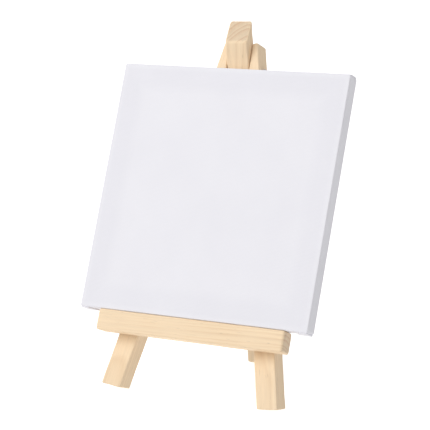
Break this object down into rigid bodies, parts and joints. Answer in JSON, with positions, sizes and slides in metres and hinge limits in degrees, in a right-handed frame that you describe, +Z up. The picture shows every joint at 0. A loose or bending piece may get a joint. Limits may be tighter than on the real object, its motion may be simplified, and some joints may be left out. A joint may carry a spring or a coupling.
{
  "type": "tabletop easel",
  "caption": "Small tabletop tripod easel of raw wood with a hinged rear leg and a crossbar ledge, holding a blank square stretched canvas.",
  "frame": {"origin": "on the table, under the middle of the whole object's box", "axes": "+Z up, the easel faces -Y, +X to the right as seen from the front"},
  "size_m": [0.1, 0.067, 0.1416],
  "materials": {
    "easel_pine": "raw sanded pine, unvarnished",
    "bar_pine": "raw planed pine",
    "steel": "bright drawn wire",
    "primed_cotton": "matt white acrylic primer on woven cotton"
  },
  "bodies": {
    "front_frame": {"front_leg_left": "easel_pine", "front_leg_right": "easel_pine", "canvas_ledge": "easel_pine", "hinge_pin": "steel", "ledge_brad_left": "steel", "ledge_brad_right": "steel"},
    "rear_leg": {"rear_leg": "easel_pine"},
    "canvas": {"canvas_cloth": "primed_cotton", "stretcher_bar_top": "bar_pine", "stretcher_bar_left": "bar_pine", "stretcher_bar_bottom": "bar_pine", "stretcher_bar_right": "bar_pine", "canvas_staple_top_1": "steel", "canvas_staple_top_2": "steel", "canvas_staple_top_3": "steel", "canvas_staple_left_1": "steel", "canvas_staple_left_2": "steel", "canvas_staple_left_3": "steel", "canvas_staple_bottom_1": "steel", "canvas_staple_bottom_2": "steel", "canvas_staple_bottom_3": "steel", "canvas_staple_right_1": "steel", "canvas_staple_right_2": "steel", "canvas_staple_right_3": "steel", "mitre_staple_top_left": "steel", "mitre_staple_bottom_left": "steel", "mitre_staple_bottom_right": "steel", "mitre_staple_top_right": "steel"}
  },
  "joints": [
    {"name": "rear_leg_fold", "type": "hinge", "parent": "front_frame", "child": "rear_leg", "pos_m": [-0.00268, 0.02193, 0.12097], "axis": [0.9997, 0.0098, 0.0228], "range_deg": [-27.3, 17.7]},
    {"name": "canvas_lift_off", "type": "slide", "parent": "front_frame", "child": "canvas", "axis": [0, -0.9187, 0.3951], "range_m": [0, 0.12]}
  ]
}
